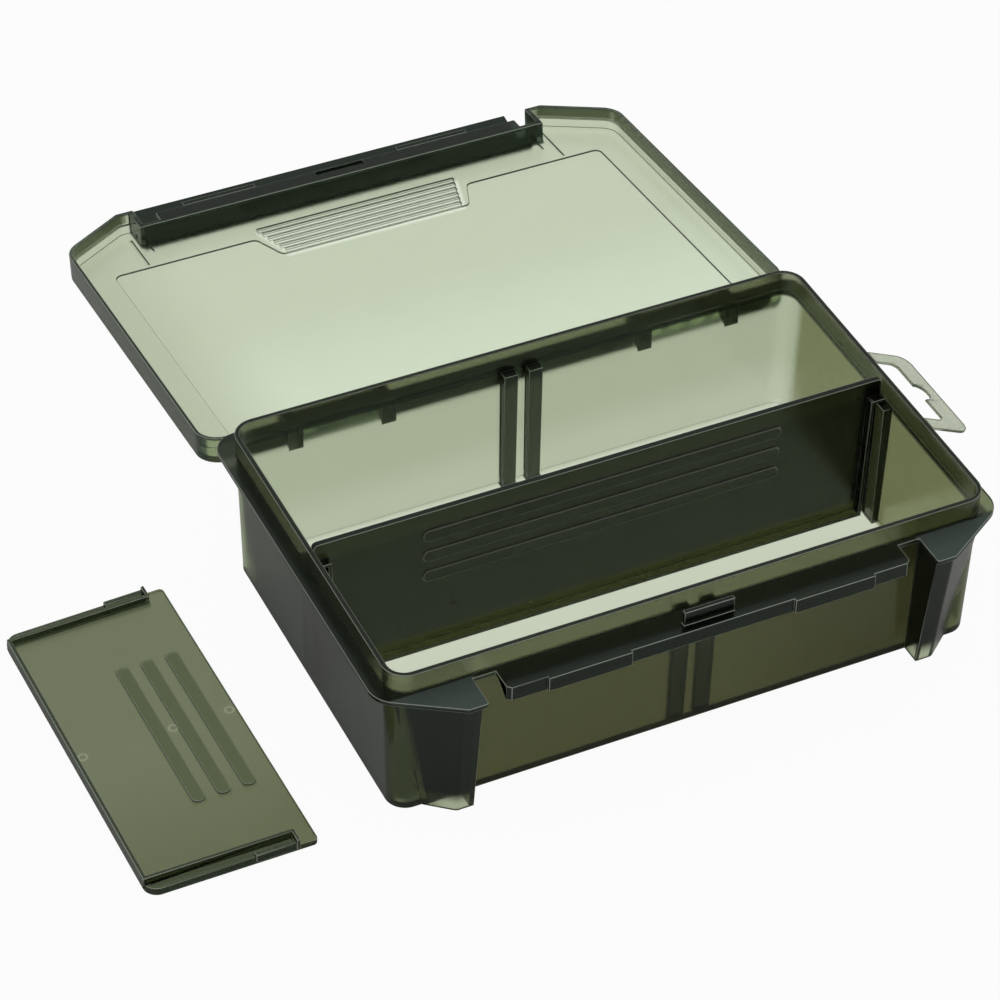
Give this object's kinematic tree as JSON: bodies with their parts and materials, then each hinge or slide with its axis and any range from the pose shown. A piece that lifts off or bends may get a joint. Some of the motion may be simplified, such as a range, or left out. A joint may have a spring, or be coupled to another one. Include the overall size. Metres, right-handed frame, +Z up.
{
  "type": "lidded lure case",
  "caption": "Open lidded lure case in translucent smoke-green plastic, with a hinged lid, front latch, folding hang tab and removable dividers.",
  "frame": {"origin": "middle of the case body's base, on the ground", "axes": "+X along the hinge to the hang-tab side, +Y from the latch side to the hinge side, +Z up"},
  "size_m": [0.2943, 0.2936, 0.0544],
  "materials": {
    "case_body_plastic": "satin translucent",
    "hang_tab_plastic": "satin translucent",
    "lid_plastic": "satin translucent",
    "latch_plastic": "satin",
    "long_divider_plastic": "satin translucent",
    "cross_divider_plastic": "satin translucent"
  },
  "bodies": {
    "case_body": {"case_body": "case_body_plastic"},
    "hang_tab": {"hang_tab": "hang_tab_plastic"},
    "lid": {"lid": "lid_plastic"},
    "latch": {"latch": "latch_plastic"},
    "long_divider": {"long_divider": "long_divider_plastic"},
    "cross_divider": {"cross_divider": "cross_divider_plastic"}
  },
  "joints": [
    {"name": "lid_hinge", "type": "hinge", "parent": "case_body", "child": "lid", "pos_m": [0, 0.06845, 0.04451], "axis": [1, 0, 0], "range_deg": [0, 185.68]},
    {"name": "latch_pivot", "type": "hinge", "parent": "lid", "child": "latch", "pos_m": [0, 0.20254, 0.02214], "axis": [1, 0, 0], "range_deg": [-19.3, 73.7]},
    {"name": "hang_tab_fold", "type": "hinge", "parent": "case_body", "child": "hang_tab", "pos_m": [0.103, 0.001, 0.0464], "axis": [0, 1, 0], "range_deg": [-25, 65]},
    {"name": "long_divider_lift", "type": "slide", "parent": "case_body", "child": "long_divider", "axis": [0, 0, 1], "range_m": [0, 0.062]},
    {"name": "cross_divider_lift", "type": "slide", "parent": "case_body", "child": "cross_divider", "axis": [0, 0, 1], "range_m": [0, 0.06]}
  ]
}
